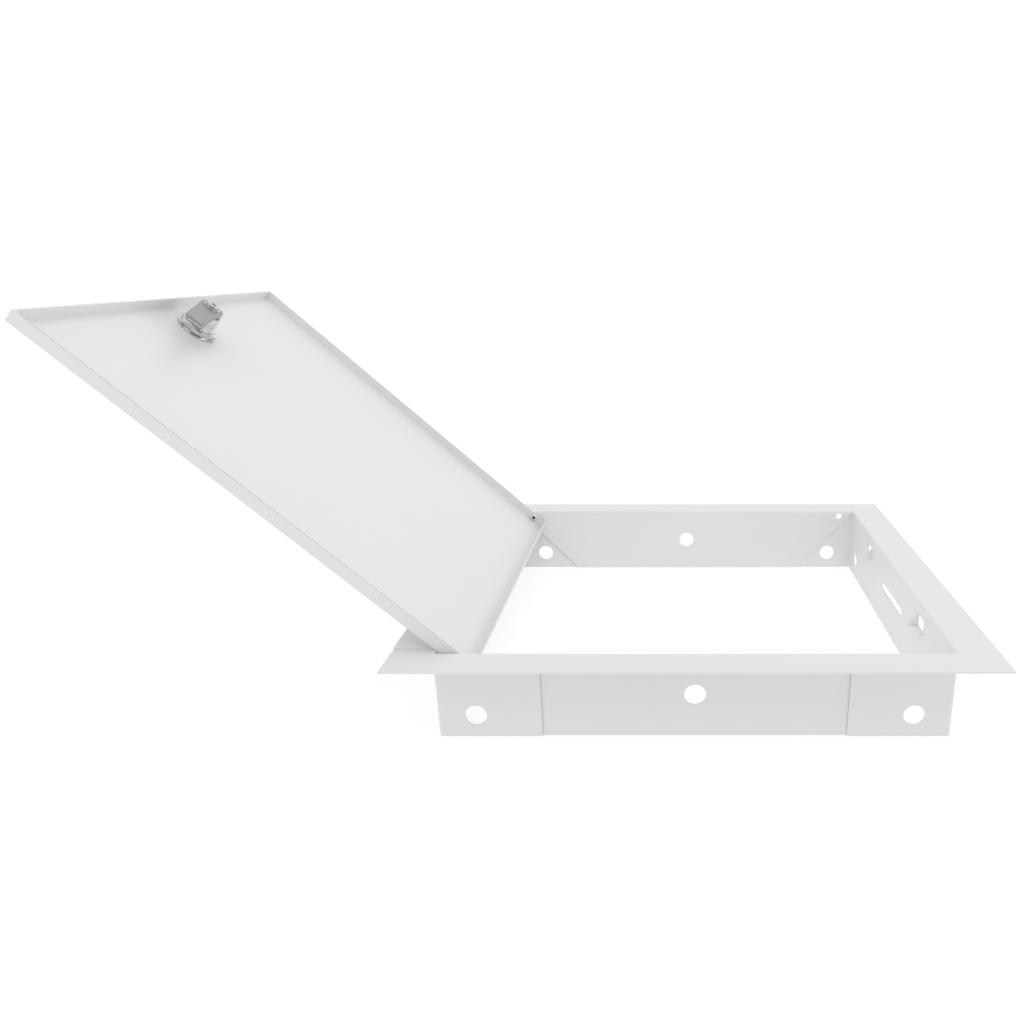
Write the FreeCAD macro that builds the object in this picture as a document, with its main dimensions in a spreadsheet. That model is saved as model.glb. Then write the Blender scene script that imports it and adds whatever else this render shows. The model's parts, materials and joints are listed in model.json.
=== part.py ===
"""Flush access door: a lapped four-rail frame of white coated sheet steel, a pan door that
turns on two rivets, and a cylinder cam lock. Millimetres, +Z out of the face, the hinge at -X.
The origin is the middle of the opening, in the plane that the flange rests on."""

import os

import FreeCAD
import Part
import Sketcher

V = FreeCAD.Vector

# Driving dimensions, in millimetres and degrees. Positions are counted from the origin.
SIZES = {
    # sheet
    "zero": 0.0,
    "metal": 1.2,
    "bend_inner": 0.8,
    "bend_outer": 2.0,
    # frame
    "opening_half": 152.4,
    "flange_half": 177.8,
    "wall_drop": 52.9,
    "tab_top": 0.85,
    "tab_end": 91.4,
    "wall_end_top": 151.4,
    "wall_end_low": 101.0,
    "lap_end": 147.8,
    "ear_end": 125.0,
    # holes in the frame
    "bolt_hole": 13.0,
    "bolt_side": 130.7,
    "bolt_low": 38.8,
    "centre_hole_low": 25.7,
    "pivot_hole": 5.4,
    "pivot_side": 139.8,
    "pivot_low": 3.65,
    "slot_half": 32.0,
    "slot_top": 21.3,
    "slot_bottom": 27.4,
    "slot_round": 3.0,
    "hole_reach": 6.0,
    # lanced door stops
    "stop_near": 86.0,
    "stop_far": 71.0,
    "stop_top": 7.5,
    "stop_bottom": 16.0,
    "stop_reach": 6.4,
    "stop_shelf": 2.6,
    # door
    "door_left": 150.95,
    "door_right": 149.8,
    "door_half": 151.4,
    "door_face": 0.9,
    "door_lip": 8.15,
    "door_bend_outer": 1.6,
    "door_bend_inner": 0.4,
    "corner_slit": 0.5,
    "slit_top": 2.0,
    "open_angle": 137.7,
    # hinge rivets
    "rivet_shank_radius": 2.65,
    "rivet_head_radius": 3.25,
    "rivet_dome_radius": 2.4,
    "rivet_head_rise": 1.5,
    "rivet_head_edge": 0.6,
    "rivet_slack": 0.1,
    "rivet_seat": 0.05,
    "rivet_bulb_radius": 3.35,
    "rivet_bulb_waist": 1.6,
    "rivet_bulb_long": 3.4,
    "rivet_bore_radius": 1.3,
    "mandrel_radius": 1.25,
    "mandrel_sunk": 0.9,
    "mandrel_tail": 1.4,
    "mandrel_knob_radius": 1.9,
    "spacer_radius": 3.6,
    "spacer_bore_radius": 2.75,
    # lock
    "lock_side": 126.2,
    "lock_body": 18.9,
    "lock_hole": 19.1,
    "lock_flat": 15.9,
    "lock_flat_hole": 16.1,
    "lock_head": 22.0,
    "lock_head_rise": 1.8,
    "lock_cap": 22.9,
    "lock_cap_metal": 0.35,
    "lock_cap_window": 15.0,
    "lock_end": 16.0,
    "lock_bore": 12.1,
    "plug_size": 12.0,
    "plug_top": 2.3,
    "plug_end": 17.2,
    "plug_tail_end": 19.9,
    "plug_tail_half": 4.0,
    "clip_groove": 16.1,
    "clip_outer": 15.4,
    "clip_metal": 0.8,
    "clip_throat": 10.9,
    "clip_gap_half": 2.2,
    "keyway_high_half": 1.1,
    "keyway_long_half": 3.7,
    "keyway_deep": 15.2,
    "wafer_first": 1.6,
    "wafer_pitch": 2.6,
    "wafer_metal": 0.9,
    "wafer_wide": 5.0,
    "wafer_wide_half": 2.5,
    "wafer_long": 10.6,
    "wafer_slot": 0.1,
    "wafer_window_long": 7.8,
    "wafer_window_high": 2.6,
    "spring_size": 1.0,
    "spring_long": 3.4,
    "washer_outer": 25.0,
    "washer_metal": 1.0,
    "nut_flats_half": 11.1,
    "nut_corner": 12.817,
    "nut_corner_half": 6.4085,
    "nut_metal": 4.0,
    "stop_disc": 15.6,
    "stop_disc_metal": 1.0,
    "clip_space": 1.2,
    "tail_slack": 0.1,
    "cam_metal": 1.8,
    "cam_reach": 37.0,
    "cam_root": 7.4,
    "cam_tip": 5.7,
    "cam_round": 6.5,
    "cam_tip_round": 1.5,
    "cam_angle": -102.0,
    "screw_thread": 4.8,
    "screw_thread_bolt": 4.7,
    "screw_head": 9.0,
    "screw_head_rise": 1.7,
    "screw_head_round": 0.8,
    "screw_deep": 6.5,
    "screw_recess_half": 1.3,
    "screw_recess_deep": 1.0,
    "screw_washer": 10.6,
    "screw_washer_bore": 5.3,
    "screw_washer_metal": 0.7,
}
WAFERS = 5

doc = FreeCAD.newDocument("AccessDoor")
sheet = doc.addObject("Spreadsheet::Sheet", "Dims")
for row, (name, size) in enumerate(SIZES.items(), start=1):
    sheet.set(f"A{row}", name)
    sheet.set(f"B{row}", str(size))
    sheet.setAlias(f"B{row}", name)
doc.recompute()


# An expression here is a sum of signed names, such as "+opening_half -metal"; "0" is zero.
def value(sum_text):
    """The number that a sum of signed names stands for."""
    if sum_text == "0":
        return 0.0
    return sum(SIZES[word[1:]] * (1 if word[0] == "+" else -1) for word in sum_text.split())


def formula(sum_text):
    """The same sum as the spreadsheet's own expression."""
    words = [f"{word[0]} Dims.{word[1:]}" for word in sum_text.split()]
    return "0 " + " ".join(words)


def flip(sum_text):
    return sum_text.translate(str.maketrans("+-", "-+"))


def mirrored(sum_text, side):
    return sum_text if side > 0 else flip(sum_text)


def new_body(name):
    body = doc.addObject("PartDesign::Body", name)
    body.Label = name
    return body


def new_sketch(body, plane, height="0"):
    """A sketch on one of the body's own origin planes, moved along its normal by height."""
    sketch = body.newObject("Sketcher::SketchObject", body.Name + "_sketch")
    for feature in body.Origin.OriginFeatures:
        if feature.Role == plane:
            sketch.AttachmentSupport = [(feature, "")]
    sketch.MapMode = "FlatFace"
    if height != "0":
        sketch.setExpression("AttachmentOffset.Base.z", formula(height))
    return sketch


def place_point(sketch, curve, end, across, up):
    """Fixes one point of a curve at (across, up) from the sketch's origin."""
    for kind, axis, where in (("DistanceX", -2, across), ("DistanceY", -1, up)):
        if where == "0":
            sketch.addConstraint(Sketcher.Constraint("PointOnObject", curve, end, axis))
        else:
            rule = Sketcher.Constraint(kind, -1, 1, curve, end, value(where))
            number = sketch.addConstraint(rule)
            sketch.setExpression(f"Constraints[{number}]", formula(where))


def outline(sketch, corners):
    """A closed outline whose corners are pairs of sums, in order. A third entry names the
    radius of a bend at that corner, whose two sides must then be level and upright."""
    stops = []
    for number, corner in enumerate(corners):
        if len(corner) == 2:
            stops.append((corner, corner, None))
            continue
        across, up, radius = corner
        ends = []
        for other in (corners[number - 1], corners[(number + 1) % len(corners)]):
            if abs(value(other[0]) - value(across)) > abs(value(other[1]) - value(up)):
                side = "+" if value(other[0]) > value(across) else "-"
                ends.append((f"{across} {side}{radius}", up))
            else:
                side = "+" if value(other[1]) > value(up) else "-"
                ends.append((across, f"{up} {side}{radius}"))
        stops.append((ends[0], ends[1], radius))

    def point(where):
        return V(value(where[0]), value(where[1]), 0)

    lines = []
    for number, stop in enumerate(stops):
        after = stops[(number + 1) % len(stops)]
        line = sketch.addGeometry(Part.LineSegment(point(stop[1]), point(after[0])))
        place_point(sketch, line, 1, *stop[1])
        lines.append(line)
    for number, stop in enumerate(stops):
        before, line, radius = lines[number - 1], lines[number], stop[2]
        if radius is None:
            sketch.addConstraint(Sketcher.Constraint("Coincident", before, 2, line, 1))
            continue
        place_point(sketch, before, 2, *stop[0])
        start, end = point(stop[0]), point(stop[1])
        corner = V(value(corners[number][0]), value(corners[number][1]), 0)
        centre = start + end - corner
        middle = centre + (corner - centre).normalize() * SIZES[radius]
        bend = sketch.addGeometry(Part.Arc(start, middle, end))
        same_way = sketch.getPoint(bend, 1).distanceToPoint(start) < SIZES[radius] / 2
        first, last = (1, 2) if same_way else (2, 1)
        sketch.addConstraint(Sketcher.Constraint("Coincident", before, 2, bend, first))
        sketch.addConstraint(Sketcher.Constraint("Coincident", line, 1, bend, last))
        rule = sketch.addConstraint(Sketcher.Constraint("Radius", bend, SIZES[radius]))
        sketch.setExpression(f"Constraints[{rule}]", formula("+" + radius))


def rectangle(sketch, left, right, low, high):
    outline(sketch, [(left, low), (right, low), (right, high), (left, high)])


def circle(sketch, diameter, across="0", up="0"):
    centre = V(value(across), value(up), 0)
    curve = sketch.addGeometry(Part.Circle(centre, V(0, 0, 1), value(diameter) / 2))
    place_point(sketch, curve, 3, across, up)
    number = sketch.addConstraint(Sketcher.Constraint("Diameter", curve, value(diameter)))
    sketch.setExpression(f"Constraints[{number}]", formula(diameter))


def pad(body, sketch, length, reversed_way=False, both_ways=False):
    feature = body.newObject("PartDesign::Pad", body.Name + "_pad")
    feature.Profile = sketch
    feature.setExpression("Length", formula(length))
    feature.Reversed = reversed_way
    feature.Midplane = both_ways
    doc.recompute()
    return feature


def pocket(body, sketch, length, reversed_way=False):
    """Cuts the profile out, and stops if nothing was removed."""
    before = body.Shape.Volume
    feature = body.newObject("PartDesign::Pocket", body.Name + "_pocket")
    feature.Profile = sketch
    feature.setExpression("Length", formula(length))
    feature.Reversed = reversed_way
    doc.recompute()
    if not feature.Shape.Volume < before:
        raise RuntimeError(f"{feature.Label} of {body.Label} cut nothing")
    return feature


def pocket_both_ways(body, sketch, reach):
    """Cuts through to both sides of the sketch's plane."""
    before = body.Shape.Volume
    feature = body.newObject("PartDesign::Pocket", body.Name + "_pocket")
    feature.Profile = sketch
    feature.Midplane = True
    feature.setExpression("Length", formula(reach))
    doc.recompute()
    if not feature.Shape.Volume < before:
        raise RuntimeError(f"{feature.Label} of {body.Label} cut nothing")
    return feature


def revolve(body, corners):
    """Turns a half section, given as (radius, height) sums, about the body's Z axis."""
    sketch = new_sketch(body, "XZ_Plane")
    outline(sketch, corners)
    feature = body.newObject("PartDesign::Revolution", body.Name + "_turned")
    feature.Profile = sketch
    feature.ReferenceAxis = (sketch, ["V_Axis"])
    feature.Angle = 360
    doc.recompute()
    return feature


def round_edges(body, radius, wanted, kind="PartDesign::Fillet"):
    """Rounds or bevels the body's edges for which wanted(edge) is true."""
    base = body.Tip
    names = [f"Edge{i}" for i, edge in enumerate(base.Shape.Edges, start=1) if wanted(edge)]
    if not names:
        raise RuntimeError(f"no edge to round on {body.Label}")
    feature = body.newObject(kind, body.Name + "_edges")
    feature.Base = (base, names)
    prop = "Radius" if kind.endswith("Fillet") else "Size"
    feature.setExpression(prop, formula(radius))
    doc.recompute()
    return feature


def straight_at(edge, axis, fixed):
    """True for a straight edge along the axis that passes through the fixed coordinates."""
    if edge.Curve.TypeId != "Part::GeomLine":
        return False
    way = edge.tangentAt(edge.FirstParameter)
    if abs(abs(way[axis]) - 1) > 1e-6:
        return False
    middle = edge.CenterOfMass
    return all(abs(middle[i] - where) < 0.01 for i, where in fixed.items())


X, Y, Z = 0, 1, 2


# Frame rails.
def cross_rail(name, side):
    """The front or rear rail: its flange runs to the corners and its wall ends in two
    slanted cuts. On the hinge side the flange has an ear that lies under the side rail."""
    body = new_body(name)
    inner = mirrored("+opening_half", side)
    outer_wall = mirrored("+opening_half +metal", side)
    outer_flange = mirrored("+flange_half", side)
    edge_in = mirrored("+opening_half +bend_outer", side)
    # the bent strip, seen from its end
    section = new_sketch(body, "YZ_Plane")
    outline(section, [
        (inner, "-wall_drop"), (outer_wall, "-wall_drop"), (outer_wall, "+zero", "bend_inner"),
        (outer_flange, "+zero"), (outer_flange, "+metal"), (inner, "+metal", "bend_outer"),
    ])
    pad(body, section, "+flange_half +flange_half", both_ways=True)
    # the slanted ends of the wall
    for end in (-1, 1):
        cut = new_sketch(body, "XZ_Plane")
        beyond = mirrored("+flange_half +metal", end)
        outline(cut, [
            (mirrored("+wall_end_top", end), "-tab_top"), (beyond, "-tab_top"),
            (beyond, "-wall_drop -metal"),
            (mirrored("+wall_end_low -metal", end), "-wall_drop -metal"),
            (mirrored("+wall_end_low", end), "-wall_drop"),
        ])
        pocket_both_ways(body, cut, "+flange_half +flange_half +flange_half")
    # the corners: a mitre at the latch end, a square end and an ear at the hinge end
    corners = new_sketch(body, "XY_Plane", "-wall_drop")
    outline(corners, [
        ("+opening_half", inner), ("+opening_half +bend_outer", edge_in),
        ("+flange_half +metal", edge_in), ("+flange_half +metal", inner),
    ])
    rectangle(corners, "-flange_half -metal", "-opening_half", edge_in, inner)
    pocket(body, corners, "+wall_drop +bend_outer", reversed_way=True)
    lap = mirrored("+lap_end", side)
    ear = mirrored("+ear_end", side)
    ears = new_sketch(body, "XY_Plane")
    outline(ears, [
        ("-flange_half", edge_in), ("-opening_half", edge_in), ("-opening_half", lap),
        ("-opening_half -bend_outer", lap), ("-opening_half -bend_outer", ear),
        ("-flange_half", ear),
    ])
    pad(body, ears, "+metal")
    # holes: one bolt hole in the middle, a pivot hole at each end
    holes = new_sketch(body, "XZ_Plane", flip(inner))
    circle(holes, "+bolt_hole", up="-centre_hole_low")
    for end in ("+pivot_side", "-pivot_side"):
        circle(holes, "+pivot_hole", across=end, up="-pivot_low")
    pocket_both_ways(body, holes, "+hole_reach")
    return body


def side_rail(name, side, lift):
    """The hinge or latch rail: its wall turns round both corners in tabs that lap outside
    the front and rear walls. lift is how far its flange lies above the seat plane."""
    body = new_body(name)
    inner = mirrored("+opening_half", side)
    outer = mirrored("+opening_half +metal", side)
    edge_out = mirrored("+flange_half", side)
    # wall and tabs, as a channel seen from above
    channel = new_sketch(body, "XY_Plane", "-wall_drop")
    tab_end = mirrored("+tab_end", side)
    tab_in, tab_out = "+opening_half +metal", "+opening_half +metal +metal"
    outline(channel, [
        (tab_end, flip(tab_out)), (outer, flip(tab_out), "bend_outer"),
        (outer, tab_out, "bend_outer"), (tab_end, tab_out), (tab_end, tab_in),
        (inner, tab_in, "bend_inner"), (inner, flip(tab_in), "bend_inner"),
        (tab_end, flip(tab_in)),
    ])
    pad(body, channel, "+wall_drop -tab_top")
    # flange and the top of the wall, seen from its end
    long_half = "+lap_end" if side < 0 else "+opening_half +bend_outer"
    section = new_sketch(body, "XZ_Plane")
    outline(section, [
        (inner, "-tab_top"), (outer, "-tab_top"), (outer, lift, "bend_inner"),
        (edge_out, lift), (edge_out, lift + " +metal"), (inner, lift + " +metal", "bend_outer"),
    ])
    pad(body, section, long_half + " " + long_half, both_ways=True)
    if side > 0:
        mitres = new_sketch(body, "XY_Plane", "-tab_top")
        for end in (-1, 1):
            corner = mirrored("+opening_half", end)
            far = mirrored("+opening_half +bend_outer", end)
            beyond = mirrored("+flange_half", end)
            outline(mitres, [
                ("+opening_half", corner), ("+opening_half +bend_outer", far),
                ("+opening_half +bend_outer", beyond), ("+opening_half -metal", beyond),
                ("+opening_half -metal", corner),
            ])
        pocket(body, mitres, "+flange_half", reversed_way=True)
    # holes in the side wall
    wall_holes = new_sketch(body, "YZ_Plane", inner)
    for end in ("+bolt_side", "-bolt_side"):
        circle(wall_holes, "+bolt_hole", across=end, up="-bolt_low")
    if side < 0:
        circle(wall_holes, "+bolt_hole", up="-centre_hole_low")
    pocket_both_ways(body, wall_holes, "+hole_reach")
    # holes in the two tabs
    for tab in (1, -1):
        tab_holes = new_sketch(body, "XZ_Plane", mirrored("-opening_half -metal", tab))
        circle(tab_holes, "+bolt_hole", across=mirrored("+bolt_side", side), up="-bolt_low")
        circle(tab_holes, "+pivot_hole", across=mirrored("+pivot_side", side), up="-pivot_low")
        pocket_both_ways(body, tab_holes, "+hole_reach")
    return body


def slot_and_stops(body):
    """The latch wall's slot for the cam, and two lanced tabs that stop the closing door."""
    wall = new_sketch(body, "YZ_Plane", "+opening_half")
    rectangle(wall, "-slot_half", "+slot_half", "-slot_bottom", "-slot_top")
    pocket_both_ways(body, wall, "+hole_reach")
    ends = (value("-slot_half"), value("+slot_half"))
    round_edges(body, "+slot_round", lambda edge: any(
        straight_at(edge, X, {Y: end, Z: -SIZES[level]})
        for end in ends for level in ("slot_top", "slot_bottom")))
    windows = new_sketch(body, "YZ_Plane", "+opening_half")
    for near, far in (("-stop_near", "-stop_far"), ("+stop_far", "+stop_near")):
        rectangle(windows, near, far, "-stop_bottom", "-stop_top")
    pocket_both_ways(body, windows, "+hole_reach")
    # each tab is a slanted gusset bent in from its window's inner edge, with a small shelf
    for edge_y, rearwards in (("-stop_far", True), ("+stop_far", False)):
        gusset = new_sketch(body, "XZ_Plane", flip(edge_y))
        outline(gusset, [
            ("+opening_half +metal", "-stop_top"), ("+opening_half", "-stop_top"),
            ("+opening_half -stop_reach", "-stop_bottom"),
            ("+opening_half -stop_shelf", "-stop_bottom -metal"),
            ("+opening_half +metal", "-stop_bottom -metal"),
        ])
        pad(body, gusset, "+metal", reversed_way=rearwards)
    for near, far in (("-stop_near", "-stop_far"), ("+stop_far", "+stop_near")):
        shelf = new_sketch(body, "XY_Plane", "-stop_bottom")
        rectangle(shelf, "+opening_half -stop_shelf", "+opening_half +metal", near, far)
        pad(body, shelf, "+metal", reversed_way=True)


cross_rail("rail_front", -1)
cross_rail("rail_rear", 1)
side_rail("rail_hinge_side", -1, "+metal")
slot_and_stops(side_rail("rail_latch_side", 1, "+zero"))


# Door. It and the lock are drawn level with the flange, then swung open about the hinge.
# The lip comes to rest on the slanted gussets 0.69 degrees past level.
hinge = V(-SIZES["pivot_side"], 0, -SIZES["pivot_low"])
swing = FreeCAD.Placement(V(), FreeCAD.Rotation(V(0, 1, 0), -SIZES["open_angle"]), hinge)
lock_turn = FreeCAD.Placement(V(SIZES["lock_side"], 0, 0),
                              FreeCAD.Rotation(V(0, 0, 1), SIZES["cam_angle"]))
lock_still = FreeCAD.Placement(V(SIZES["lock_side"], 0, 0), FreeCAD.Rotation())


def door_panel():
    """A pan with a lip all round, pierced for the two rivets and the lock."""
    body = new_body("door_panel")
    plate = new_sketch(body, "XY_Plane", "+door_face")
    rectangle(plate, "-door_left", "+door_right", "-door_half", "+door_half")
    pad(body, plate, "+door_lip", reversed_way=True)
    hollow = new_sketch(body, "XY_Plane", "+door_face -metal")
    rectangle(hollow, "-door_left +metal", "+door_right -metal",
              "-door_half +metal", "+door_half -metal")
    pocket(body, hollow, "+door_lip")
    face, floor = value("+door_face"), value("+door_face -metal")

    def around(edge, height):
        flat = edge.Curve.TypeId == "Part::GeomLine"
        return flat and all(abs(point.Point.z - height) < 0.01 for point in edge.Vertexes)

    round_edges(body, "+door_bend_outer", lambda edge: around(edge, face))
    round_edges(body, "+door_bend_inner", lambda edge: around(edge, floor))
    # the lips meet at the corners in narrow slits
    for end, here in ((-1, "-door_left"), (1, "+door_right")):
        slits = new_sketch(body, "XY_Plane", "+door_face -slit_top")
        inside = mirrored("+metal", -end)
        for side in (-1, 1):
            edge_y = mirrored("+door_half", side)
            back = mirrored("-metal", side)
            rectangle(slits, here + " " + inside,
                      here + " " + inside + " " + mirrored("+corner_slit", -end),
                      edge_y + " " + mirrored("-metal -metal", side), edge_y + " " + back
                      + " " + mirrored("+metal +corner_slit", side))
        pocket(body, slits, "+door_lip")
    pins = new_sketch(body, "XZ_Plane")
    circle(pins, "+pivot_hole", across="-pivot_side", up="-pivot_low")
    pocket_both_ways(body, pins, "+flange_half +flange_half")
    lock = new_sketch(body, "XY_Plane", "+door_face")
    double_d(lock, "+lock_hole", "+lock_flat_hole", "+lock_side")
    pocket_both_ways(body, lock, "+hole_reach")
    body.Placement = swing
    return body


def double_d(sketch, diameter, flats, across="0"):
    """A circle cut by two flats that face front and rear."""
    radius, half = value(diameter) / 2, value(flats) / 2
    chord = (radius ** 2 - half ** 2) ** 0.5
    middle = value(across)
    corners = [V(middle + sx * chord, sy * half, 0)
               for sx, sy in ((-1, -1), (1, -1), (1, 1), (-1, 1))]
    first = sketch.GeometryCount
    sketch.addGeometry(Part.LineSegment(corners[0], corners[1]))
    sketch.addGeometry(Part.Arc(corners[1], V(middle + radius, 0, 0), corners[2]))
    sketch.addGeometry(Part.LineSegment(corners[2], corners[3]))
    sketch.addGeometry(Part.Arc(corners[3], V(middle - radius, 0, 0), corners[0]))
    right, left = first + 1, first + 3
    joins = ((first, 2, right, 1), (right, 2, first + 2, 1), (first + 2, 2, left, 1),
             (left, 2, first, 1))
    for join in joins:
        sketch.addConstraint(Sketcher.Constraint("Coincident", *join))
    place_point(sketch, right, 3, across, "0")
    sketch.addConstraint(Sketcher.Constraint("Coincident", right, 3, left, 3))
    sketch.addConstraint(Sketcher.Constraint("Horizontal", first))
    sketch.addConstraint(Sketcher.Constraint("Horizontal", first + 2))
    sketch.addConstraint(Sketcher.Constraint("Equal", right, left))
    number = sketch.addConstraint(Sketcher.Constraint("Diameter", right, 2 * radius))
    sketch.setExpression(f"Constraints[{number}]", formula(diameter))
    rule = Sketcher.Constraint("DistanceY", first, 1, first + 2, 1, 2 * half)
    number = sketch.addConstraint(rule)
    sketch.setExpression(f"Constraints[{number}]", formula(flats))
    sketch.addConstraint(Sketcher.Constraint("Equal", first, first + 2))


door_panel()


# Hinge rivets, mandrels and spacers: drawn along Z, then laid along Y at the front or rear.
def hinge_pieces(end, side):
    """Everything on one pivot. Z = 0 is the inner face of the wall, and -Z is inwards."""
    turn = FreeCAD.Rotation(V(1, 0, 0), -90 * side)
    place = FreeCAD.Placement(V(-SIZES["pivot_side"], side * SIZES["opening_half"],
                                -SIZES["pivot_low"]), turn)
    head_low = "-opening_half +door_half -metal -rivet_slack"
    rivet = new_body(f"hinge_rivet_{end}")
    revolve(rivet, [
        ("+rivet_bore_radius", head_low + " -rivet_head_rise"),
        ("+rivet_dome_radius", head_low + " -rivet_head_rise"),
        ("+rivet_head_radius", head_low + " -rivet_head_edge"),
        ("+rivet_head_radius", head_low), ("+rivet_shank_radius", head_low),
        ("+rivet_shank_radius", "+metal +metal +rivet_seat"),
        ("+rivet_bulb_radius", "+metal +metal +rivet_seat"),
        ("+rivet_bulb_radius", "+metal +metal +rivet_bulb_waist"),
        ("+rivet_shank_radius", "+metal +metal +rivet_bulb_long"),
        ("+rivet_bore_radius", "+metal +metal +rivet_bulb_long"),
    ])
    mandrel = new_body(f"rivet_mandrel_{end}")
    revolve(mandrel, [
        ("0", head_low + " -rivet_head_rise +mandrel_sunk"),
        ("+mandrel_radius", head_low + " -rivet_head_rise +mandrel_sunk"),
        ("+mandrel_radius", "+metal +metal +rivet_bulb_long"),
        ("+mandrel_knob_radius", "+metal +metal +rivet_bulb_long"),
        ("+mandrel_knob_radius", "+metal +metal +rivet_bulb_long +mandrel_sunk"),
        ("0", "+metal +metal +rivet_bulb_long +mandrel_tail"),
    ])
    spacer = new_body(f"hinge_spacer_{end}")
    revolve(spacer, [
        ("+spacer_bore_radius", "-opening_half +door_half +rivet_slack"),
        ("+spacer_radius", "-opening_half +door_half +rivet_slack"),
        ("+spacer_radius", "-rivet_slack"), ("+spacer_bore_radius", "-rivet_slack"),
    ])
    for body in (rivet, mandrel, spacer):
        body.Placement = place


hinge_pieces("front", -1)
hinge_pieces("rear", 1)


# Lock. Each piece is drawn about its own axis, Z out of the door.
def lock_housing():
    body = new_body("lock_housing")
    barrel = new_sketch(body, "XY_Plane", "-lock_end")
    double_d(barrel, "+lock_body", "+lock_flat")
    pad(body, barrel, "+lock_end +door_face")
    head = new_sketch(body, "XY_Plane", "+door_face")
    circle(head, "+lock_head")
    pad(body, head, "+lock_head_rise")
    bore = new_sketch(body, "XY_Plane")
    circle(bore, "+lock_bore")
    pocket_both_ways(body, bore, "+opening_half")
    return body


def lock_face_cap():
    """A thin bright cap pressed over the head."""
    body = new_body("lock_face_cap")
    shell = new_sketch(body, "XY_Plane", "+door_face +rivet_slack")
    circle(shell, "+lock_cap")
    pad(body, shell, "+lock_head_rise +lock_cap_metal -rivet_slack")
    inside = new_sketch(body, "XY_Plane", "+door_face +lock_head_rise")
    circle(inside, "+lock_head")
    pocket(body, inside, "+lock_head_rise")
    window = new_sketch(body, "XY_Plane", "+door_face")
    circle(window, "+lock_cap_window")
    pocket_both_ways(body, window, "+bolt_hole")
    return body


def lock_plug():
    """The core: keyway, wafer slots, clip groove, and a square threaded tail for the cam."""
    body = new_body("lock_plug")
    core = new_sketch(body, "XY_Plane", "-plug_end")
    circle(core, "+plug_size")
    pad(body, core, "+plug_end +plug_top")
    tail = new_sketch(body, "XY_Plane", "-plug_tail_end")
    rectangle(tail, "-plug_tail_half", "+plug_tail_half", "-plug_tail_half", "+plug_tail_half")
    pad(body, tail, "+plug_tail_end -plug_end")
    keyway = new_sketch(body, "XY_Plane", "+plug_top")
    rectangle(keyway, "-keyway_long_half", "+keyway_long_half",
              "-keyway_high_half", "+keyway_high_half")
    pocket(body, keyway, "+keyway_deep")
    screw = new_sketch(body, "XY_Plane", "-plug_tail_end")
    circle(screw, "+screw_thread")
    pocket(body, screw, "+screw_deep", reversed_way=True)
    groove = new_sketch(body, "XY_Plane", "-clip_groove")
    circle(groove, "+plug_size")
    circle(groove, "+clip_throat")
    pocket(body, groove, "+clip_metal")
    slots = new_sketch(body, "XZ_Plane")
    for number in range(WAFERS):
        low = "-wafer_first" + " -wafer_pitch" * number
        rectangle(slots, "-wafer_wide_half -wafer_slot", "+wafer_wide_half +wafer_slot",
                  low + " -wafer_metal -wafer_slot", low + " +wafer_slot")
    pocket_both_ways(body, slots, "+wafer_long +wafer_slot +wafer_slot")
    wells = new_sketch(body, "XZ_Plane")
    for number in range(WAFERS):
        low = "-wafer_first" + " -wafer_pitch" * number
        rectangle(wells, "+wafer_wide_half", "+wafer_wide_half +spring_size +wafer_slot",
                  low + " -wafer_metal -wafer_slot", low + " +wafer_slot")
    pocket_both_ways(body, wells, "+spring_long +wafer_slot +wafer_slot")
    return body


def lock_wafers():
    """Five brass plates, each with a window that the key passes through."""
    plates = []
    for number in range(WAFERS):
        top = -SIZES["wafer_first"] - SIZES["wafer_pitch"] * number
        low = top - SIZES["wafer_metal"]
        wide, long = SIZES["wafer_wide"], SIZES["wafer_long"]
        hole_x, hole_y = SIZES["wafer_window_high"], SIZES["wafer_window_long"]
        plate = Part.makeBox(wide, long, SIZES["wafer_metal"], V(-wide / 2, -long / 2, low))
        hole = Part.makeBox(hole_x, hole_y, SIZES["wafer_metal"], V(-hole_x / 2, -hole_y / 2, low))
        plates.append(plate.cut(hole))
    body = doc.addObject("Part::Feature", "lock_wafers")
    body.Label = "lock_wafers"
    body.Shape = Part.makeCompound(plates)
    return body


def wafer_springs():
    """One small spring beside each wafer, as the closed outer shape of its coils."""
    coils = []
    for number in range(WAFERS):
        middle = -SIZES["wafer_first"] - SIZES["wafer_pitch"] * number - SIZES["wafer_metal"] / 2
        start = V(SIZES["wafer_wide"] / 2 + SIZES["spring_size"] / 2 + SIZES["wafer_slot"] / 2,
                  -SIZES["spring_long"] / 2, middle)
        radius = (SIZES["wafer_metal"] - SIZES["wafer_slot"]) / 2
        coils.append(Part.makeCylinder(radius, SIZES["spring_long"], start, V(0, 1, 0)))
    body = doc.addObject("Part::Feature", "wafer_springs")
    body.Label = "wafer_springs"
    body.Shape = Part.makeCompound(coils)
    return body


def plug_clip():
    """A flat ring with a gap, sprung into the plug's groove behind the housing."""
    body = new_body("plug_clip")
    ring = new_sketch(body, "XY_Plane", "-clip_groove -tail_slack")
    circle(ring, "+clip_outer")
    circle(ring, "+clip_throat")
    pad(body, ring, "+clip_metal -tail_slack -tail_slack", reversed_way=True)
    gap = new_sketch(body, "XY_Plane")
    rectangle(gap, "0", "+clip_outer", "-clip_gap_half", "+clip_gap_half")
    pocket_both_ways(body, gap, "+opening_half")
    return body


def ring_plate(name, outer, bore, top, thick, square=False):
    """A washer whose upper face is at the height top."""
    body = new_body(name)
    disc = new_sketch(body, "XY_Plane", top)
    circle(disc, outer)
    pad(body, disc, thick, reversed_way=True)
    hole = new_sketch(body, "XY_Plane", top)
    if square:
        side = "+plug_tail_half +tail_slack"
        rectangle(hole, flip(side), side, flip(side), side)
    else:
        circle(hole, bore)
    pocket(body, hole, thick)
    return body


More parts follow.
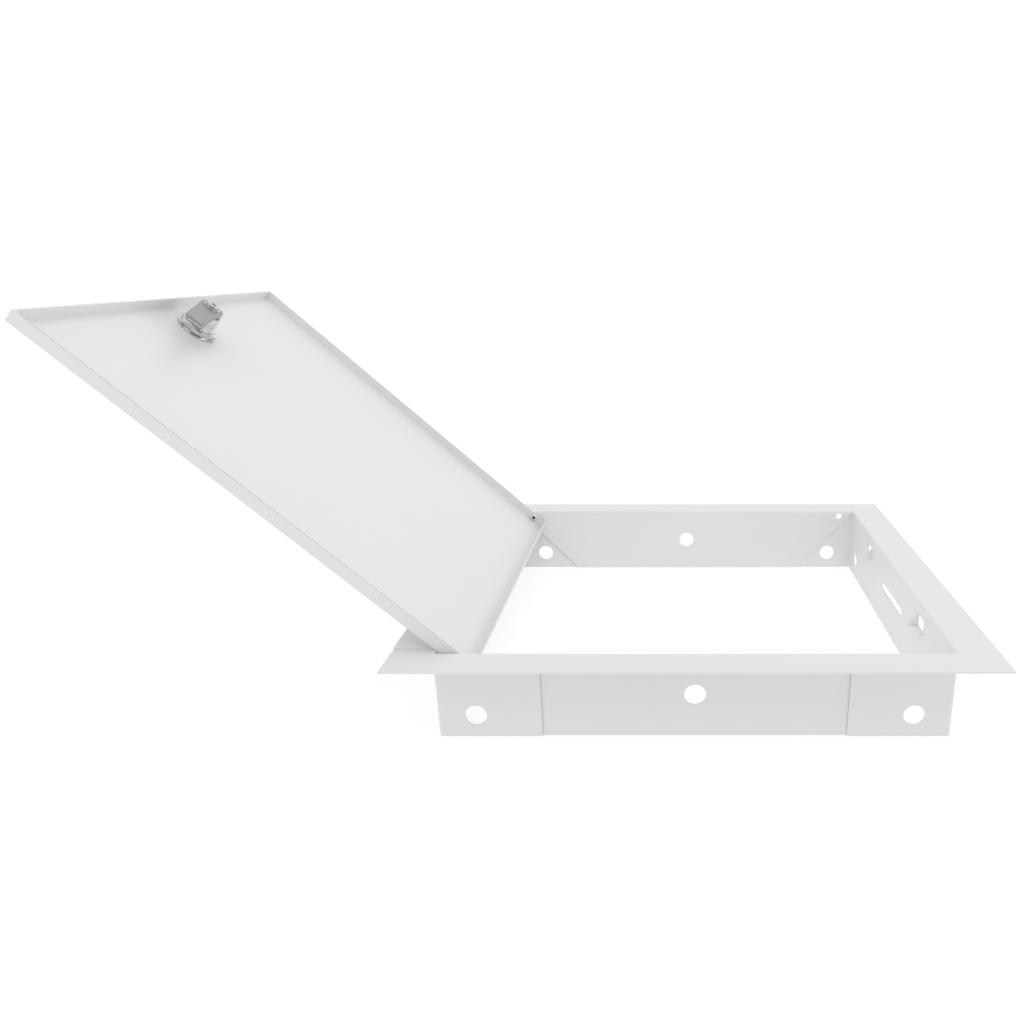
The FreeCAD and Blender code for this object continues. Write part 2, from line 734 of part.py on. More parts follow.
def lock_washer():
    body = new_body("lock_washer")
    disc = new_sketch(body, "XY_Plane", "+door_face -metal")
    circle(disc, "+washer_outer")
    pad(body, disc, "+washer_metal", reversed_way=True)
    hole = new_sketch(body, "XY_Plane", "+door_face -metal")
    double_d(hole, "+lock_hole", "+lock_flat_hole")
    pocket(body, hole, "+washer_metal")
    return body


def lock_nut():
    """A hexagon nut on the flatted thread."""
    body = new_body("lock_nut")
    top = "+door_face -metal -washer_metal"
    hexagon = new_sketch(body, "XY_Plane", top)
    outline(hexagon, [
        ("+nut_corner", "0"), ("+nut_corner_half", "+nut_flats_half"),
        ("-nut_corner_half", "+nut_flats_half"), ("-nut_corner", "0"),
        ("-nut_corner_half", "-nut_flats_half"), ("+nut_corner_half", "-nut_flats_half"),
    ])
    pad(body, hexagon, "+nut_metal", reversed_way=True)
    hole = new_sketch(body, "XY_Plane", top)
    circle(hole, "+lock_hole")
    pocket(body, hole, "+nut_metal")
    return body


def lock_cam():
    """A flat arm on the plug's square tail: round at the root, narrower at the tip."""
    body = new_body("lock_cam")
    top = "-lock_end -clip_space -stop_disc_metal"
    arm = new_sketch(body, "XY_Plane", top)
    outline(arm, [
        ("0", "-cam_root"), ("+cam_reach", "-cam_tip"), ("+cam_reach", "+cam_tip"),
        ("0", "+cam_root"),
        ("-cam_root", "+cam_root"), ("-cam_root", "-cam_root"),
    ])
    pad(body, arm, "+cam_metal", reversed_way=True)
    root = -SIZES["cam_root"]
    round_edges(body, "+cam_round", lambda edge: any(
        straight_at(edge, Z, {X: root, Y: where}) for where in (root, -root)))
    tip = SIZES["cam_tip"]
    round_edges(body, "+cam_tip_round", lambda edge: any(
        straight_at(edge, Z, {X: SIZES["cam_reach"], Y: where}) for where in (tip, -tip)))
    hole = new_sketch(body, "XY_Plane", top)
    side = "+plug_tail_half +tail_slack"
    rectangle(hole, flip(side), side, flip(side), side)
    pocket(body, hole, "+cam_metal")
    return body


def cam_screw():
    """A pan-head screw into the plug's tail, with a square recess."""
    body = new_body("cam_screw")
    seat = "-lock_end -clip_space -stop_disc_metal -cam_metal -screw_washer_metal"
    thread = new_sketch(body, "XY_Plane", seat)
    circle(thread, "+screw_thread_bolt")
    pad(body, thread, "+screw_deep")
    head = new_sketch(body, "XY_Plane", seat)
    circle(head, "+screw_head")
    pad(body, head, "+screw_head_rise", reversed_way=True)
    low = value(seat) - SIZES["screw_head_rise"]
    round_edges(body, "+screw_head_round", lambda edge: edge.Curve.TypeId == "Part::GeomCircle"
                and abs(edge.CenterOfMass.z - low) < 0.01)
    recess = new_sketch(body, "XY_Plane", seat + " -screw_head_rise")
    rectangle(recess, "-screw_recess_half", "+screw_recess_half",
              "-screw_recess_half", "+screw_recess_half")
    pocket(body, recess, "+screw_recess_deep", reversed_way=True)
    return body


for body in (lock_housing(), lock_face_cap(), lock_washer(), lock_nut()):
    body.Placement = swing.multiply(lock_still)

stop_disc = ring_plate("cam_stop_washer", "+stop_disc", None, "-lock_end -clip_space",
                       "+stop_disc_metal", square=True)
screw_washer = ring_plate("cam_lock_washer", "+screw_washer", "+screw_washer_bore",
                          "-lock_end -clip_space -stop_disc_metal -cam_metal",
                          "+screw_washer_metal")
for body in (lock_plug(), lock_wafers(), wafer_springs(), plug_clip(), stop_disc, lock_cam(),
             screw_washer, cam_screw()):
    body.Placement = swing.multiply(lock_turn)


# Check everything, then write one file for each piece.
doc.recompute()
for item in doc.Objects:
    if "Invalid" in item.State or "Error" in item.State:
        raise RuntimeError(f"{item.Label} failed: {item.State}")
pieces = [item for item in doc.Objects
          if item.TypeId == "PartDesign::Body" or item.TypeId == "Part::Feature"]
for piece in pieces:
    if piece.Shape.isNull() or not piece.Shape.isValid():
        raise RuntimeError(f"{piece.Label} has no valid shape")
os.makedirs("parts", exist_ok=True)
for piece in pieces:
    piece.Shape.exportStep(f"parts/{piece.Label}.step")
    box = piece.Shape.BoundBox
    print(f"{piece.Label}: {piece.Shape.Volume:.1f} mm3, {len(piece.Shape.Solids)} solid(s), "
          f"{box.XLength:.1f} x {box.YLength:.1f} x {box.ZLength:.1f} mm")
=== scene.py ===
"""Looks of a flush access hatch: white coated sheet steel, rivet pivots and a cam lock.
Metres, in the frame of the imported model. The sections follow the hatch as it is put together."""

import json
import math

import bmesh
import bpy
from mathutils import Matrix, Vector


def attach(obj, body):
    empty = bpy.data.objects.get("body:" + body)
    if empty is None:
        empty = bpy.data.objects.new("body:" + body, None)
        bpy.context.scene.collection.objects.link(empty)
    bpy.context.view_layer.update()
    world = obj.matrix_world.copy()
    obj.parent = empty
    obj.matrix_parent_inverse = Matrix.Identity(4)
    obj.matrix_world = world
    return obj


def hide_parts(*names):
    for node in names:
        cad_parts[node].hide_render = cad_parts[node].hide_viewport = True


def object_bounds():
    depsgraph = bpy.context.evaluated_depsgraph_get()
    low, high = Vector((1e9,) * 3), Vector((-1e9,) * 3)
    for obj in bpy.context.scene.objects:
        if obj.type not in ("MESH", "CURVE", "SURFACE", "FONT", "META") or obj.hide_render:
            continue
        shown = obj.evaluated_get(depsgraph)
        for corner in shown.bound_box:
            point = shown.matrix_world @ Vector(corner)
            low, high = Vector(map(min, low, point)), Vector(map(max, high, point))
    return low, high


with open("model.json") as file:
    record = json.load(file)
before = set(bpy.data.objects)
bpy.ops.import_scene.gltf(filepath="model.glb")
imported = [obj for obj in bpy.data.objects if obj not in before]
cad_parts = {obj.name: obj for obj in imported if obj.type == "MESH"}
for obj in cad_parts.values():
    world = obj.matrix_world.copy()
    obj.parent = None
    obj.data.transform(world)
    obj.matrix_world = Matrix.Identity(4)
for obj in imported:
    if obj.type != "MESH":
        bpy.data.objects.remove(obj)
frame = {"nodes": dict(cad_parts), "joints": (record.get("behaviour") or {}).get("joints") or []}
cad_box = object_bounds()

# ---------------------------------------------------------------------------------------
# Camera: stands in front of the front rail, a little above the hatch, with the object low
# and to the left in its view.
camera_data = bpy.data.cameras.new("camera")
camera_data.sensor_width = 36
camera_data.lens = 30.488
camera_data.shift_x = -0.15396
camera_data.shift_y = 0.05709
camera_data.clip_start = 0.01
camera_data.dof.use_dof = False
camera = bpy.data.objects.new("camera", camera_data)
bpy.context.scene.collection.objects.link(camera)
camera_place = Vector((-0.014233, -0.613633, 0.215679))
camera_down, camera_left, camera_roll = 19.528, 0.103, -0.063
camera.matrix_world = (
    Matrix.Translation(camera_place)
    @ Matrix.Rotation(math.radians(camera_left), 4, "Z")
    @ Matrix.Rotation(math.radians(90 - camera_down), 4, "X")
    @ Matrix.Rotation(math.radians(camera_roll), 4, "Z")
)
bpy.context.scene.camera = camera

# ---------------------------------------------------------------------------------------
# Studio: a pale floor under the rails, a white backdrop behind, an even white room, and
# soft lamps above, high in front, at the hinge side, and low at the latch side.
bpy.context.scene.view_settings.view_transform = "Standard"
floor_drop = 0.0003
floor_half = 3.0
backdrop_high = 2.0
floor_glow, floor_albedo = 0.72, 0.35
backdrop_glow, backdrop_albedo = 0.85, 0.30
room_strength = 0.745


def stage_sheet(name, half, glow, albedo):
    """A large square of matt paper that glows a little, lying in the plane Z = 0."""
    shape = bmesh.new()
    bmesh.ops.create_grid(shape, x_segments=1, y_segments=1, size=half)
    mesh = bpy.data.meshes.new(name)
    shape.to_mesh(mesh)
    shape.free()
    paper = bpy.data.materials.new(name)
    paper.use_nodes = True
    paper_shader = paper.node_tree.nodes["Principled BSDF"]
    paper_shader.inputs["Base Color"].default_value = (albedo, albedo, albedo, 1)
    paper_shader.inputs["Roughness"].default_value = 0.9
    paper_shader.inputs["Specular IOR Level"].default_value = 0.0
    paper_shader.inputs["Emission Color"].default_value = (1, 1, 1, 1)
    paper_shader.inputs["Emission Strength"].default_value = glow
    mesh.materials.append(paper)
    sheet = bpy.data.objects.new(name, mesh)
    bpy.context.scene.collection.objects.link(sheet)
    return sheet


floor = stage_sheet("floor", floor_half, floor_glow, floor_albedo)
floor.location = (0, 0, cad_box[0].z - floor_drop)
backdrop = stage_sheet("backdrop", floor_half, backdrop_glow, backdrop_albedo)
backdrop.location = (0, floor_half, backdrop_high)
backdrop.rotation_euler = (math.radians(90), 0, 0)

room = bpy.data.worlds.new("room")
room.use_nodes = True
room_light = room.node_tree.nodes["Background"]
room_light.inputs["Color"].default_value = (1.0, 1.0, 1.0, 1)
room_light.inputs["Strength"].default_value = room_strength
bpy.context.scene.world = room


def soft_lamp(name, place, target, width, depth, power):
    """A rectangular soft box that faces the target."""
    lamp = bpy.data.lights.new(name, "AREA")
    lamp.shape = "RECTANGLE"
    lamp.size, lamp.size_y = width, depth
    lamp.energy = power
    holder = bpy.data.objects.new(name, lamp)
    bpy.context.scene.collection.objects.link(holder)
    aim = (Vector(target) - Vector(place)).to_track_quat("-Z", "Y")
    holder.matrix_world = Matrix.Translation(place) @ aim.to_matrix().to_4x4()


# name, place, target, width, depth, power in watts
soft_lamp("overhead_box", (0.2, 0.2, 1.6), (0, 0, 0), 1.4, 1.2, 1.2)
soft_lamp("front_box", (0.2, -1.0, 1.7), (0, 0, 0), 1.2, 0.8, 4.6)
soft_lamp("hinge_side_box", (-1.3, -0.7, 1.1), (0.1, 0, 0), 0.8, 0.8, 2.2)
soft_lamp("latch_side_box", (1.5, -0.1, 0.12), (-0.25, 0, 0.15), 0.4, 1.0, 5.0)

# ---------------------------------------------------------------------------------------
# Frame rails: four bent strips of 1.2 mm steel, spot-welded at their laps and powder
# coated white, so that every cut edge is a little round and the skin is faintly pebbled.
class Signal:
    """A socket in a material. Arithmetic on signals adds Math nodes."""

    def __init__(self, tree, socket=None):
        self.tree = tree
        self.socket = socket

    def node(self, kind, settings=None, inputs=None, out=0):
        """Adds a node: its settings first, then its sockets. Returns one of its outputs."""
        made = self.tree.nodes.new(kind)
        for name, setting in (settings or {}).items():
            if name == "stops":
                stops = made.color_ramp.elements
                while len(stops) < len(setting):
                    stops.new(1.0)
                for stop, (place, shade) in zip(stops, setting):
                    stop.position = place
                    stop.color = (shade, shade, shade, 1)
            else:
                setattr(made, name, setting)
        for name, value in (inputs or {}).items():
            if isinstance(value, Signal):
                self.tree.links.new(value.socket, made.inputs[name])
            else:
                made.inputs[name].default_value = value
        return Signal(self.tree, made.outputs[out])

    def sum_of(self, operation, first, second):
        return self.node("ShaderNodeMath", {"operation": operation}, {0: first, 1: second})

    def __add__(self, other):
        return self.sum_of("ADD", self, other)

    def __sub__(self, other):
        return self.sum_of("SUBTRACT", self, other)

    def __mul__(self, other):
        return self.sum_of("MULTIPLY", self, other)

    def noise(self, scale, detail=2.0, roughness=0.5):
        """Noise over this signal's coordinates; scale is in cells to the metre."""
        return self.node("ShaderNodeTexNoise", {}, {
            "Vector": self, "Scale": scale, "Detail": detail, "Roughness": roughness})

    def ramp(self, *stops):
        return self.node("ShaderNodeValToRGB", {"stops": stops}, {"Fac": self})

    def tint(self, low, high):
        """Mixes two colours by this signal."""
        return self.node("ShaderNodeMix", {"data_type": "RGBA"}, {
            "Factor": self, 6: (*low, 1), 7: (*high, 1)}, out=2)

    def stretched(self, x, y, z):
        return self.node("ShaderNodeVectorMath", {"operation": "MULTIPLY"},
                         {0: self, 1: (x, y, z)})

    def along(self, point, axis):
        """The distance of this position beyond a point, along an axis."""
        away = self.node("ShaderNodeVectorMath", {"operation": "SUBTRACT"},
                         {0: self, 1: tuple(point)})
        return away.node("ShaderNodeVectorMath", {"operation": "DOT_PRODUCT"},
                         {0: away, 1: tuple(axis)}, out="Value")

    def bump(self, depth, strength=1.0):
        return self.node("ShaderNodeBump", {}, {
            "Height": self, "Distance": depth, "Strength": strength}, out="Normal")


def new_finish(name, **constants):
    """A material, its shader, and the object's own coordinates as a signal."""
    material = bpy.data.materials.new(name)
    material.use_nodes = True
    shader = material.node_tree.nodes["Principled BSDF"]
    for socket, value in constants.items():
        shader.inputs[socket.replace("_", " ")].default_value = value
    place = Signal(material.node_tree).node("ShaderNodeTexCoord", out="Object")
    return material, shader, place


def wire(shader, **signals):
    for socket, signal in signals.items():
        signal.tree.links.new(signal.socket, shader.inputs[socket.replace("_", " ")])


def powder_coat():
    """White polyester powder: pebbled at a millimetre, finely grained, a little uneven."""
    material, shader, place = new_finish("powder_coat", Specular_IOR_Level=0.45)
    drift = place.noise(9.0, 3.0)
    cloud = place.noise(70.0, 3.0, 0.6)
    grain = place.noise(1500.0, 2.0, 0.7)
    pebble = place.noise(620.0, 1.0)
    specks = place.noise(420.0, 4.0, 0.65).ramp((0.0, 0.0), (0.69, 0.0), (0.76, 1.0))
    blend = drift * 0.45 + cloud * 0.30 + grain * 0.25
    paint = blend.tint((0.738, 0.738, 0.738), (0.786, 0.785, 0.782))
    dusted = specks.node("ShaderNodeMix", {"data_type": "RGBA"}, {
        "Factor": specks * 0.22, 6: paint, 7: (0.60, 0.60, 0.59, 1)}, out=2)
    wire(shader, Base_Color=dusted, Roughness=cloud * 0.16 + grain * 0.08 + 0.27,
         Normal=(pebble * 0.7 + grain * 0.3).bump(0.00005, 0.55))
    return material


white_coat = powder_coat()
EDGE_ROUND = 0.00018
SHARP_ANGLE = math.radians(40)
SAME_POINT = 0.000002


def make_object(name, shape, material, smooth=35):
    """Turns a bmesh into a finished object with its place in its mesh."""
    mesh = bpy.data.meshes.new(name)
    shape.to_mesh(mesh)
    shape.free()
    mesh.materials.clear()
    mesh.materials.append(material)
    mesh.shade_smooth()
    mesh.set_sharp_from_angle(angle=math.radians(smooth))
    piece = bpy.data.objects.new(name, mesh)
    bpy.context.scene.collection.objects.link(piece)
    # large flats keep their own normals, and only the narrow rounds between them turn
    even = piece.modifiers.new("even_normals", "WEIGHTED_NORMAL")
    even.keep_sharp = True
    return piece


def eased(node, radius, steps=2):
    """A copy of a drawn piece as one clean mesh, its sharp edges rounded."""
    shape = bmesh.new()
    shape.from_mesh(frame["nodes"][node].data)
    bmesh.ops.remove_doubles(shape, verts=shape.verts, dist=SAME_POINT)
    bmesh.ops.dissolve_limit(shape, angle_limit=math.radians(0.5), verts=shape.verts,
                             edges=shape.edges)
    sharp = [edge for edge in shape.edges
             if len(edge.link_faces) == 2 and edge.calc_face_angle() > SHARP_ANGLE]
    bmesh.ops.bevel(shape, geom=sharp, affect="EDGES", offset=radius, segments=steps,
                    profile=0.5, material=-1, clamp_overlap=True)
    return shape


for rail in ("rail_front", "rail_rear", "rail_hinge_side", "rail_latch_side"):
    piece = make_object(rail + "_coated", eased(rail, EDGE_ROUND), white_coat)
    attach(piece, "frame")
    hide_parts(rail)

# ---------------------------------------------------------------------------------------
# Seams: painted shade, as dark hairline strips laid on the walls where the tabs' ends and the
# slanted ends of the hinge-side walls stand on the sheet behind them, and the coating doesn't
# bridge the gap: the strips stand in for the shadow in that gap.
seam_shade, seam_shader, seam_place = new_finish("seam_shade", Roughness=0.8)
# the painted shade is mottled a little, between two dark greys
seam_shade_mottle = seam_place.noise(800.0, 3.0, 0.6).ramp((0.35, 0.0), (0.65, 1.0))
wire(seam_shader, Base_Color=seam_shade_mottle.tint((0.22, 0.22, 0.21), (0.46, 0.46, 0.44)))
seam_lines = bmesh.new()
end_wide, slant_wide, seam_deep = 0.12, 0.95, 0.02
tab_end, wall_outer, seam_top, seam_low = 91.4, 153.6, -2.5, -52.85
slant_top, slant_low = -149.8, -101.0
for side in (-1, 1):
    # where each line starts and ends along the wall, its width, and the way it faces
    for top_x, low_x, wide, out in ((-tab_end, -tab_end, end_wide, side),
                                    (tab_end, tab_end, -end_wide, side),
                                    (slant_top, slant_low, -slant_wide, -side)):
        corners = [(x + shift, side * wall_outer + deep, z)
                   for x, z in ((top_x, seam_top), (low_x, seam_low))
                   for shift in (0, wide) for deep in (0, out * seam_deep)]
        points = [seam_lines.verts.new(Vector(corner) / 1000) for corner in corners]
        bmesh.ops.convex_hull(seam_lines, input=points)
bmesh.ops.recalc_face_normals(seam_lines, faces=seam_lines.faces)
seams = make_object("seam_lines", seam_lines, seam_shade)
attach(seams, "frame")

# ---------------------------------------------------------------------------------------
# Door: a pan of the same coated steel, its lips bent down and slit at the corners. The
# coating bridges the slits, and a dark grey strip lies along the front lip's cut edge.
door = make_object("door_pan", eased("door_panel", EDGE_ROUND), white_coat)
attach(door, "door")
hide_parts("door_panel")

pivot = next(joint for joint in frame["joints"] if joint["name"] == "door_hinge")
turn = next(joint for joint in frame["joints"] if joint["name"] == "lock_turn")
pivot_line, lock_line = Vector(pivot["pos_m"]), Vector(turn["axis"])
door_tilt = math.atan2(lock_line.x, lock_line.z)
door_place = (Matrix.Translation(pivot_line) @ Matrix.Rotation(door_tilt, 4, "Y")
              @ Matrix.Translation(-pivot_line))


def sliver(shape, low, high):
    """Adds a block between two corners, in millimetres on the level door."""
    low, high = Vector(low) / 1000, Vector(high) / 1000
    bmesh.ops.create_cube(shape, size=1, matrix=door_place @ Matrix.Translation((low + high) / 2)
                          @ Matrix.Diagonal((*(high - low), 1)))


door_half, lip_end, slit_wide = 151.4, -7.25, 0.5
slit_out, slit_in = door_half - 0.08, door_half - 1.15
hinge_slit, latch_slit = -149.75, 148.1
bridge_shape = bmesh.new()
for slit_x in (hinge_slit, latch_slit):
    for near, far in ((-slit_out, -slit_in), (slit_in, slit_out)):
        sliver(bridge_shape, (slit_x, near, lip_end + 0.05), (slit_x + slit_wide, far, -1.05))
bridges = make_object("slit_bridges", bridge_shape, white_coat)
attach(bridges, "door")
# a dark grey strip along the front lip's cut edge, in the seams' dark material
dark_edge_shape = bmesh.new()
edge_strip_out, edge_strip_in, edge_strip_half = -150.95, -150.5, 0.02
sliver(dark_edge_shape, (-148.0, edge_strip_out, lip_end - edge_strip_half),
       (146.0, edge_strip_in, lip_end + edge_strip_half))
dark_lip_edge = make_object("front_lip_dark_strip", dark_edge_shape, seam_shade)
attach(dark_lip_edge, "door")

# ---------------------------------------------------------------------------------------
# Hinge rivets: two aluminium blind rivets, domed inside the door's lip and bulged outside
# the frame's wall, each with its broken steel stem and a nylon washer on its shank.
def plain_metal(name, dark, light, rough, spread, pits=0.00001, cells=240.0, shade=None):
    """Bare or plated metal: cloudy, with fine scratches and small pits. The shade is a point,
    an axis and a height along it beyond which the metal is painted near black: painted shade."""
    material, shader, place = new_finish(name, Metallic=1.0)
    cloud = place.noise(cells, 4.0, 0.6).ramp((0.3, 0.0), (0.7, 1.0))
    scratch = place.stretched(260.0, 3200.0, 900.0).noise(1.0, 2.0, 0.6)
    pit = place.noise(2600.0, 2.0, 0.6)
    blend = cloud * 0.55 + scratch * 0.25 + pit * 0.20
    colour = blend.tint(dark, light)
    if shade:
        point, axis, height = shade
        # painted shade: past the height the colour turns near black, standing in for the shadow
        # where the part meets the door
        fade, contact_shade_colour = 0.00005, (0.03, 0.035, 0.035, 1)
        beyond = (place.along(point, axis) - height) * (1 / fade)
        colour = beyond.node("ShaderNodeMix", {"data_type": "RGBA"}, {
            "Factor": beyond.ramp((0.0, 0.0), (1.0, 1.0)), 6: colour, 7: contact_shade_colour}, out=2)
    wire(shader, Base_Color=colour,
         Roughness=cloud * spread + scratch * (spread / 2) + rough,
         Normal=(pit * 0.5 + scratch * 0.5).bump(pits, 0.6))
    return material


rivet_alloy = plain_metal("rivet_alloy", (0.62, 0.63, 0.64), (0.86, 0.87, 0.88), 0.16, 0.16)
broken_steel = plain_metal("broken_steel", (0.02, 0.02, 0.02), (0.10, 0.10, 0.10), 0.45, 0.3)


def turned(outline, steps=64):
    """Spins a half outline of (radius, height) points about Z, in millimetres."""
    shape = bmesh.new()
    points = [shape.verts.new((radius / 1000, 0, height / 1000)) for radius, height in outline]
    edges = [shape.edges.new(pair) for pair in zip(points, points[1:])]
    bmesh.ops.spin(shape, geom=points + edges, cent=(0, 0, 0), axis=(0, 0, 1),
                   angle=2 * math.pi, steps=steps, use_merge=True)
    bmesh.ops.remove_doubles(shape, verts=shape.verts, dist=SAME_POINT)
    bmesh.ops.recalc_face_normals(shape, faces=shape.faces)
    return shape


def arc(centre, radius, start, end, steps=6):
    """Points on an arc between two angles in degrees, as (radius, height)."""
    turns = [math.radians(start + (end - start) * step / steps) for step in range(steps + 1)]
    return [(centre[0] + radius * math.cos(turn), centre[1] + radius * math.sin(turn))
            for turn in turns]


opening_half = 152.4
lip_gap, metal, slack = 1.0, 1.2, 0.1
head_seat = -(lip_gap + metal + slack)
wall_pack = 2 * metal
shank, head, bore, stem_radius = 2.65, 3.25, 1.3, 1.22
bulb_end = wall_pack + 3.4
washer_bore, washer_edge = 2.75, 3.6
nylon, nylon_shader, nylon_place = new_finish("nylon", Subsurface_Weight=0.1)
nylon_cloud = nylon_place.noise(900.0, 3.0)
wire(nylon_shader, Base_Color=nylon_cloud.tint((0.74, 0.73, 0.68), (0.83, 0.82, 0.78)),
     Roughness=nylon_cloud * 0.2 + 0.4, Normal=nylon_cloud.bump(0.00002, 0.5))
for end, side in (("front", -1), ("rear", 1)):
    laid = (Matrix.Translation((pivot_line.x, side * opening_half / 1000, pivot_line.z))
            @ Matrix.Rotation(math.radians(-90 * side), 4, "X"))
    rivet_shape = turned(
        [(bore, bulb_end), (bore, head_seat - 0.9)]
        + arc((1.75, head_seat - 1.05), 0.45, 180, 270, 4)
        + arc((1.75, head_seat - 0.1), 1.4, 270, 350, 8)
        + [(head, head_seat - 0.25), (head, head_seat), (shank, head_seat),
           (shank, wall_pack + 0.05)]
        + [(2.95, wall_pack + 0.05)] + arc((2.75, wall_pack + 0.75), 0.6, -70, 70, 6)
        + [(2.6, wall_pack + 2.2), (2.35, wall_pack + 3.2), (2.1, bulb_end),
           (bore, bulb_end)])
    bmesh.ops.transform(rivet_shape, matrix=laid, verts=rivet_shape.verts)
    rivet = make_object(f"blind_rivet_{end}", rivet_shape, rivet_alloy)
    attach(rivet, "frame")
    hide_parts(f"hinge_rivet_{end}")
    stem_shape = turned(
        [(0, head_seat - 0.75), (0.45, head_seat - 0.62), (0.9, head_seat - 0.7),
         (stem_radius, head_seat - 0.5), (stem_radius, bulb_end), (1.7, bulb_end + 0.05)]
        + arc((0.9, wall_pack + 3.5), 1.0, 0, 80, 5) + [(0, wall_pack + 4.6)])
    bmesh.ops.transform(stem_shape, matrix=laid, verts=stem_shape.verts)
    stem = make_object(f"broken_stem_{end}", stem_shape, broken_steel)
    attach(stem, "frame")
    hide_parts(f"rivet_mandrel_{end}")
    washer_shape = turned([(washer_bore, -0.9), (3.45, -0.9), (washer_edge, -0.78),
                           (washer_edge, -0.22), (3.45, -0.1), (washer_bore, -0.1),
                           (washer_bore, -0.9)])
    bmesh.ops.transform(washer_shape, matrix=laid, verts=washer_shape.verts)
    washer = make_object(f"nylon_washer_{end}", washer_shape, nylon)
    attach(washer, "frame")
    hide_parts(f"hinge_spacer_{end}")

# ---------------------------------------------------------------------------------------
# Lock body: a nickel-plated zinc casting, threaded, with two flats that stop it turning
# in the door, and a pressed bright cap over its face.
lock_place = Matrix.Translation(turn["pos_m"]) @ Matrix.Rotation(door_tilt, 4, "Y")
die_cast = plain_metal("nickel_casting", (0.50, 0.51, 0.52), (0.88, 0.89, 0.90), 0.20, 0.14)
bright_cap = plain_metal("bright_cap", (0.60, 0.61, 0.63), (0.74, 0.75, 0.77), 0.08, 0.08)
body_radius, flat_half, lock_end, door_face = 9.45, 7.95, 16.0, 0.9
lock_bore, head_radius = 6.05, 11.0
thread_pitch, thread_deep, thread_start = 1.05, 0.45, -1.6
thread_root = body_radius - thread_deep
body_line = [(lock_bore, 2.6), (8.0, 2.6), (9.6, 2.7), (10.9, 2.5), (head_radius, 2.2),
             (head_radius, door_face), (thread_root, door_face)]
height = thread_start
while height > -lock_end + 0.9:
    body_line += [(thread_root, height), (body_radius, height - 0.42),
                  (body_radius, height - 0.55), (thread_root, height - 0.95)]
    height -= thread_pitch
body_line += [(thread_root, -lock_end + 0.25), (thread_root - 0.3, -lock_end),
              (6.3, -lock_end), (lock_bore, -lock_end + 0.25), (lock_bore, 2.6)]
body_shape = turned(body_line, 96)
for vert in body_shape.verts:
    if vert.co.z < door_face / 1000 - SAME_POINT:
        vert.co.y = max(-flat_half / 1000, min(flat_half / 1000, vert.co.y))
bmesh.ops.transform(body_shape, matrix=lock_place, verts=body_shape.verts)
lock_body = make_object("lock_body", body_shape, die_cast, 30)
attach(lock_body, "door")
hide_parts("lock_housing")

cap_window, cap_top, cap_shoulder = 7.5, 3.05, 10.6
cap_shape = turned([(cap_window, 2.72), (cap_window, 3.0), (7.65, cap_top),
                    (cap_shoulder, cap_top)]
                   + arc((cap_shoulder, 2.2), 0.85, 90, 0, 6)
                   + [(11.45, 1.05), (11.4, 1.0), (11.05, 1.0), (11.05, 2.3)]
                   + arc((cap_shoulder, 2.3), 0.45, 0, 90, 4) + [(cap_window, 2.72)], 96)
bmesh.ops.transform(cap_shape, matrix=lock_place, verts=cap_shape.verts)
face_cap = make_object("lock_cap", cap_shape, bright_cap)
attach(face_cap, "door")
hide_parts("lock_face_cap")

# ---------------------------------------------------------------------------------------
# Lock washer and nut: bright zinc-plated steel, screwed down on the back of the door.
zinc = plain_metal("bright_zinc", (0.30, 0.32, 0.33), (0.95, 0.96, 0.97), 0.12, 0.14,
                   cells=420.0)
washer_top = door_face - metal
# the washer's rim next to the door is painted near black: painted shade standing in for the
# contact shadow where it meets the door
zinc_painted_shade = plain_metal("zinc_painted_shade", (0.45, 0.47, 0.48), (0.95, 0.96, 0.97), 0.12, 0.14,
                         shade=(turn["pos_m"], turn["axis"], (washer_top - 0.38) / 1000))
plate_bore, plate_edge, plate_low = 9.6, 12.5, washer_top - 1.0
plate_shape = turned([(plate_bore, washer_top), (12.1, washer_top),
                      (12.45, washer_top - 0.15), (plate_edge, washer_top - 0.3),
                      (plate_edge, washer_top - 0.75), (12.35, washer_top - 0.95),
                      (12.1, plate_low), (plate_bore, plate_low),
                      (plate_bore, washer_top)], 96)
bmesh.ops.transform(plate_shape, matrix=lock_place, verts=plate_shape.verts)
plate = make_object("lock_back_washer", plate_shape, zinc_painted_shade)
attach(plate, "door")
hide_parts("lock_washer")


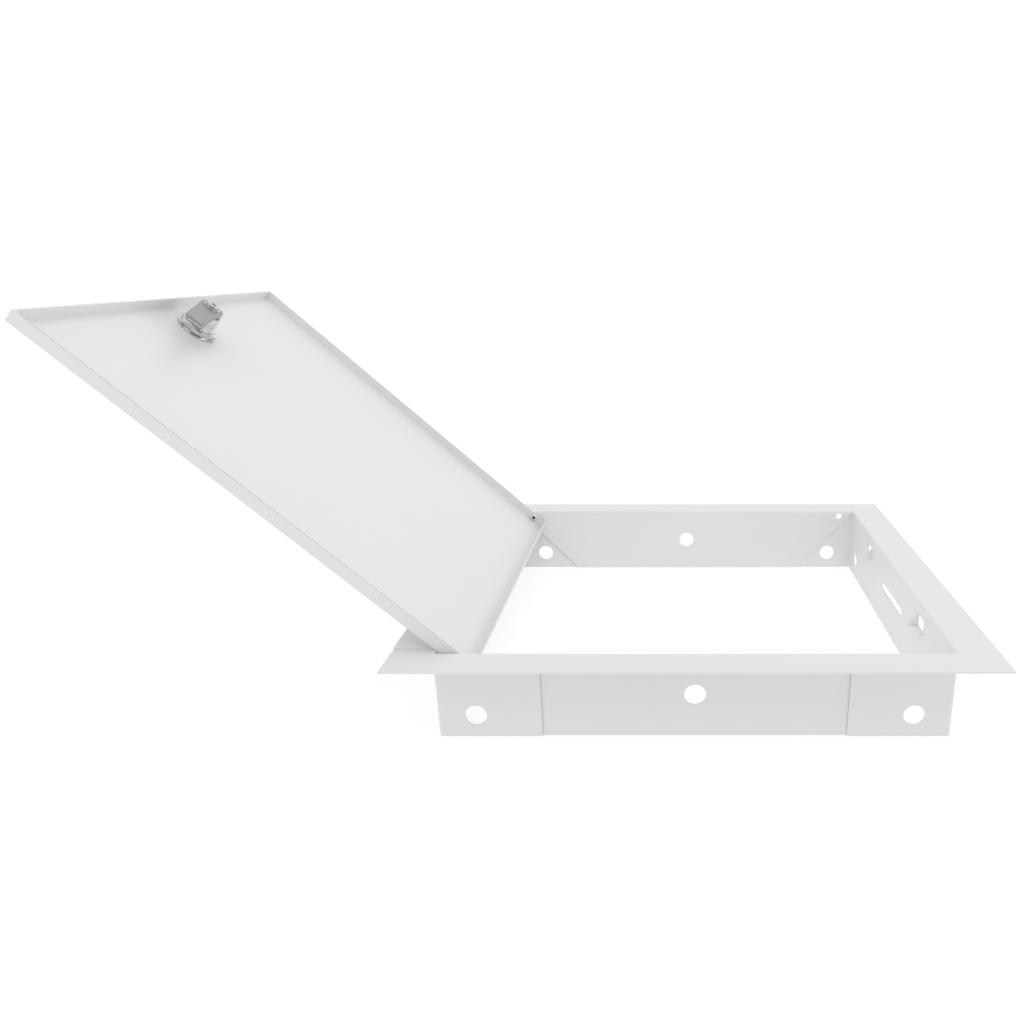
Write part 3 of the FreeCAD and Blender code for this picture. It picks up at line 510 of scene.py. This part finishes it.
def nut_shape(half_flats, bore, top, thick):
    """A hexagon nut: its corners are cut back by a cone at both faces."""
    sides, cuts = 6, 8
    chamfer = math.tan(math.radians(30))
    shape = bmesh.new()
    rings = []
    for kind in ("bore_top", "face_top", "side_top", "side_low", "face_low", "bore_low"):
        ring = []
        for step in range(sides * cuts):
            turn_by = 2 * math.pi * step / (sides * cuts)
            within = (turn_by % (math.pi / 3)) - math.pi / 6
            reach = half_flats / math.cos(within)
            drop = (reach - half_flats) * chamfer
            radius = {"bore": bore, "face": half_flats - 0.15, "side": reach}[kind[:4]]
            low = {"bore": 0, "face": 0, "side": drop + 0.1}[kind[:4]]
            level = top - low if kind.endswith("top") else top - thick + low
            ring.append(shape.verts.new((radius * math.cos(turn_by) / 1000,
                                         radius * math.sin(turn_by) / 1000, level / 1000)))
        rings.append([shape.edges.new(pair) for pair in zip(ring, ring[1:] + ring[:1])])
    for first, second in zip(rings, rings[1:] + rings[:1]):
        bmesh.ops.bridge_loops(shape, edges=first + second)
    bmesh.ops.recalc_face_normals(shape, faces=shape.faces)
    return shape


nut_half_flats, nut_bore, nut_thick = 11.1, 9.5, 4.0
hexagon = nut_shape(nut_half_flats, nut_bore, plate_low, nut_thick)
bmesh.ops.transform(hexagon, matrix=lock_place, verts=hexagon.verts)
nut = make_object("lock_hex_nut", hexagon, zinc, 25)
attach(nut, "door")
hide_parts("lock_nut")

# ---------------------------------------------------------------------------------------
# Lock core: the plug with its keyway, five brass wafers, their springs, and the clip that
# holds the plug in the body.
plug = make_object("lock_core_plug", eased("lock_plug", 0.00012), die_cast)
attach(plug, "lock_core")
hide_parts("lock_plug")
brass = plain_metal("stamped_brass", (0.45, 0.30, 0.10), (0.66, 0.48, 0.20), 0.26, 0.2)
spring_steel = plain_metal("spring_steel", (0.26, 0.27, 0.28), (0.48, 0.49, 0.50), 0.24, 0.18)
wafers = frame["nodes"]["lock_wafers"]
wafers.data.materials.clear()
wafers.data.materials.append(brass)
for hidden in ("wafer_springs", "plug_clip"):
    node = frame["nodes"][hidden]
    node.data.materials.clear()
    node.data.materials.append(spring_steel)

# ---------------------------------------------------------------------------------------
# Cam: a flat plated arm on the plug's square tail, between a stop washer and the screw.
satin_zinc = plain_metal("satin_zinc", (0.33, 0.335, 0.345), (0.45, 0.455, 0.465), 0.42, 0.16)
screw_plate = plain_metal("screw_plate", (0.06, 0.07, 0.07), (0.95, 0.96, 0.96), 0.10, 0.12,
                          cells=700.0)
for node, name, radius, finish in (
        ("lock_cam", "cam_arm", 0.0003, satin_zinc),
        ("cam_stop_washer", "stop_washer", 0.00015, zinc),
        ("cam_lock_washer", "spring_washer", 0.00015, zinc),
        ("cam_screw", "cam_pan_screw", 0.0002, screw_plate)):
    piece = make_object(name, eased(node, radius), finish)
    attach(piece, "lock_core")
    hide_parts(node)
